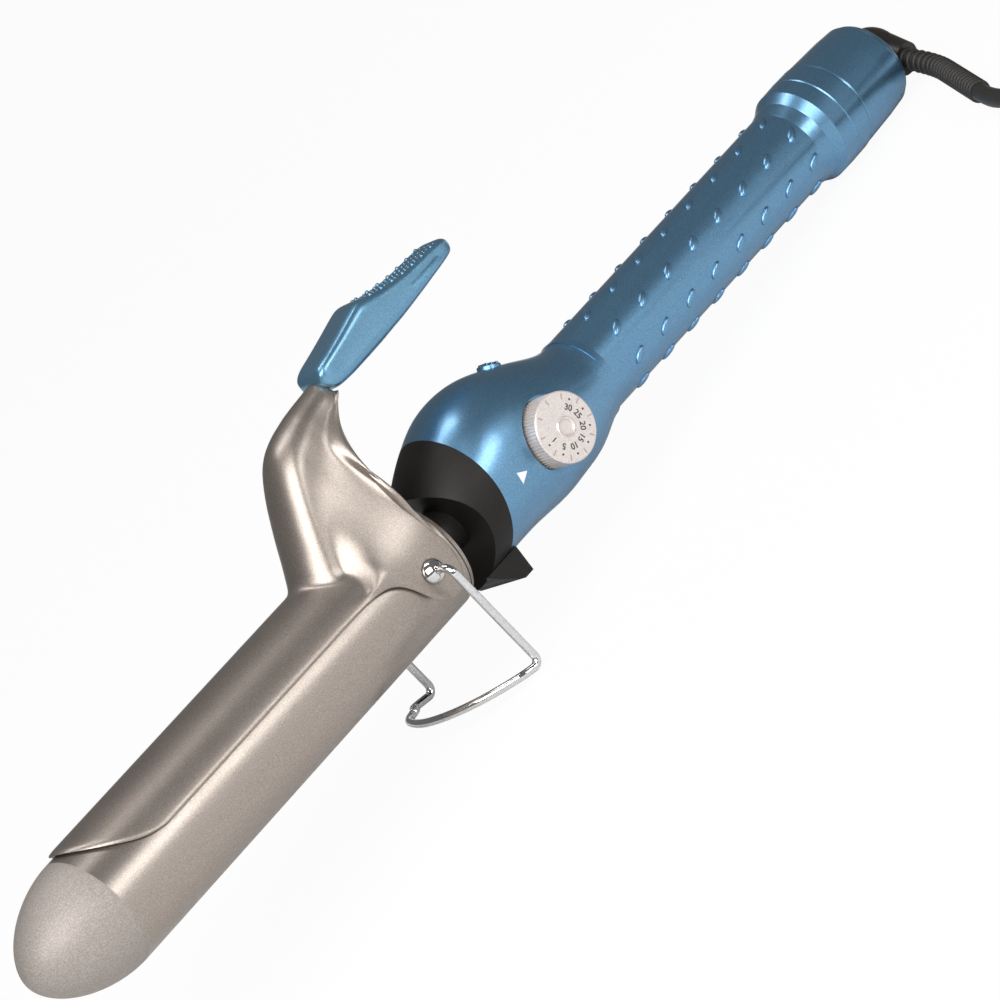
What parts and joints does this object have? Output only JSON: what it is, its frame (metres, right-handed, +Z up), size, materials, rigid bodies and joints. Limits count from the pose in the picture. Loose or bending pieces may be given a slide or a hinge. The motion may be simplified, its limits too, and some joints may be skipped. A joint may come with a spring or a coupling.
{
  "type": "curling iron",
  "caption": "Spring-clip curling iron with thumb lever, temperature dial, boost button, wire stand and swivel mains lead.",
  "frame": {"origin": "on the table, under the middle of the iron's length, with the mains lead left out", "axes": "+X towards the handle end, +Z up, the dial on the -Y side"},
  "size_m": [0.4612, 0.1501, 0.0882],
  "materials": {
    "titanium_barrel": "satin titanium-tone coating",
    "titanium_tip": "matt titanium-tone paint",
    "titanium_clip": "satin titanium-tone coating",
    "blue_body": "metallic blue paint, satin",
    "blue_tab": "metallic blue paint, satin",
    "black_shield": "satin black, heat resistant",
    "black_part": "satin black",
    "dial_silver": "pearl silver paint",
    "bright_chrome": "polished",
    "aluminium_part": "extruded",
    "heater_ceramic": "matt",
    "steel_part": "zinc plated",
    "board_green": "coated board",
    "contact_brass": "bright",
    "wire_insulation": "silicone",
    "lead_black": "matt",
    "tie_black": "woven strap",
    "insulator_cream": "moulded"
  },
  "bodies": {
    "root": {"barrel": "titanium_barrel", "tip_cap": "titanium_tip", "tip_plug": "insulator_cream", "tip_screw": "steel_part", "heat_spreader_upper": "aluminium_part", "heat_spreader_lower": "aluminium_part", "heater_strip": "heater_ceramic", "thermistor": "heater_ceramic", "thermal_fuse": "steel_part", "heater_leads": "wire_insulation", "barrel_flange": "titanium_barrel", "neck_sleeve": "black_part", "pivot_rivets": "bright_chrome", "heat_shield": "black_shield", "body_shell_dial_side": "blue_body", "body_shell_back": "blue_body", "body_screws": "steel_part", "grip_sleeve": "blue_body", "collar_ring": "blue_body", "end_cap": "blue_body", "boost_switch": "black_part", "potentiometer": "black_part", "circuit_board": "board_green", "power_triac": "black_part", "mains_leads": "wire_insulation", "swivel_carrier": "insulator_cream", "contact_brushes": "contact_brass", "cord_lead": "lead_black", "cord_coil": "lead_black", "coil_tie": "tie_black", "cord_tail": "lead_black", "plug_body": "lead_black", "plug_blades": "contact_brass"},
    "clip": {"clip_plate": "titanium_clip", "thumb_tab": "blue_tab", "tab_screw": "steel_part", "clip_spring": "steel_part"},
    "stand": {"stand_wire": "bright_chrome"},
    "dial": {"dial_knob": "dial_silver", "dial_cap": "dial_silver"},
    "button": {"boost_button": "blue_body"},
    "swivel": {"swivel_dome": "black_part", "slip_rings": "contact_brass", "strain_relief": "lead_black"}
  },
  "joints": [
    {"name": "clip_hinge", "type": "hinge", "parent": "root", "child": "clip", "pos_m": [-0.04095, 0, 0.035], "axis": [0, 1, 0], "range_deg": [0, 24], "stiffness_Nm_per_rad": 0.5, "springref_deg": -28.65, "deforming": ["clip_spring"]},
    {"name": "stand_hinge", "type": "hinge", "parent": "root", "child": "stand", "pos_m": [-0.04095, 0, 0.035], "axis": [0, 1, 0], "range_deg": [-70, 28]},
    {"name": "dial_turn", "type": "hinge", "parent": "root", "child": "dial", "pos_m": [0.01178, -0.0226, 0.03061], "axis": [0, -1, 0], "range_deg": [0, 280]},
    {"name": "boost_press", "type": "slide", "parent": "root", "child": "button", "axis": [-0.587, 0, -0.8096], "range_m": [0, 0.0012], "stiffness_N_per_m": 900, "springref_m": -0.0006},
    {"name": "cord_swivel", "type": "hinge", "parent": "root", "child": "swivel", "pos_m": [0.17856, 0, 0.01213], "axis": [-0.9946, 0, 0.1036], "continuous": true, "deforming": ["cord_lead"]}
  ]
}
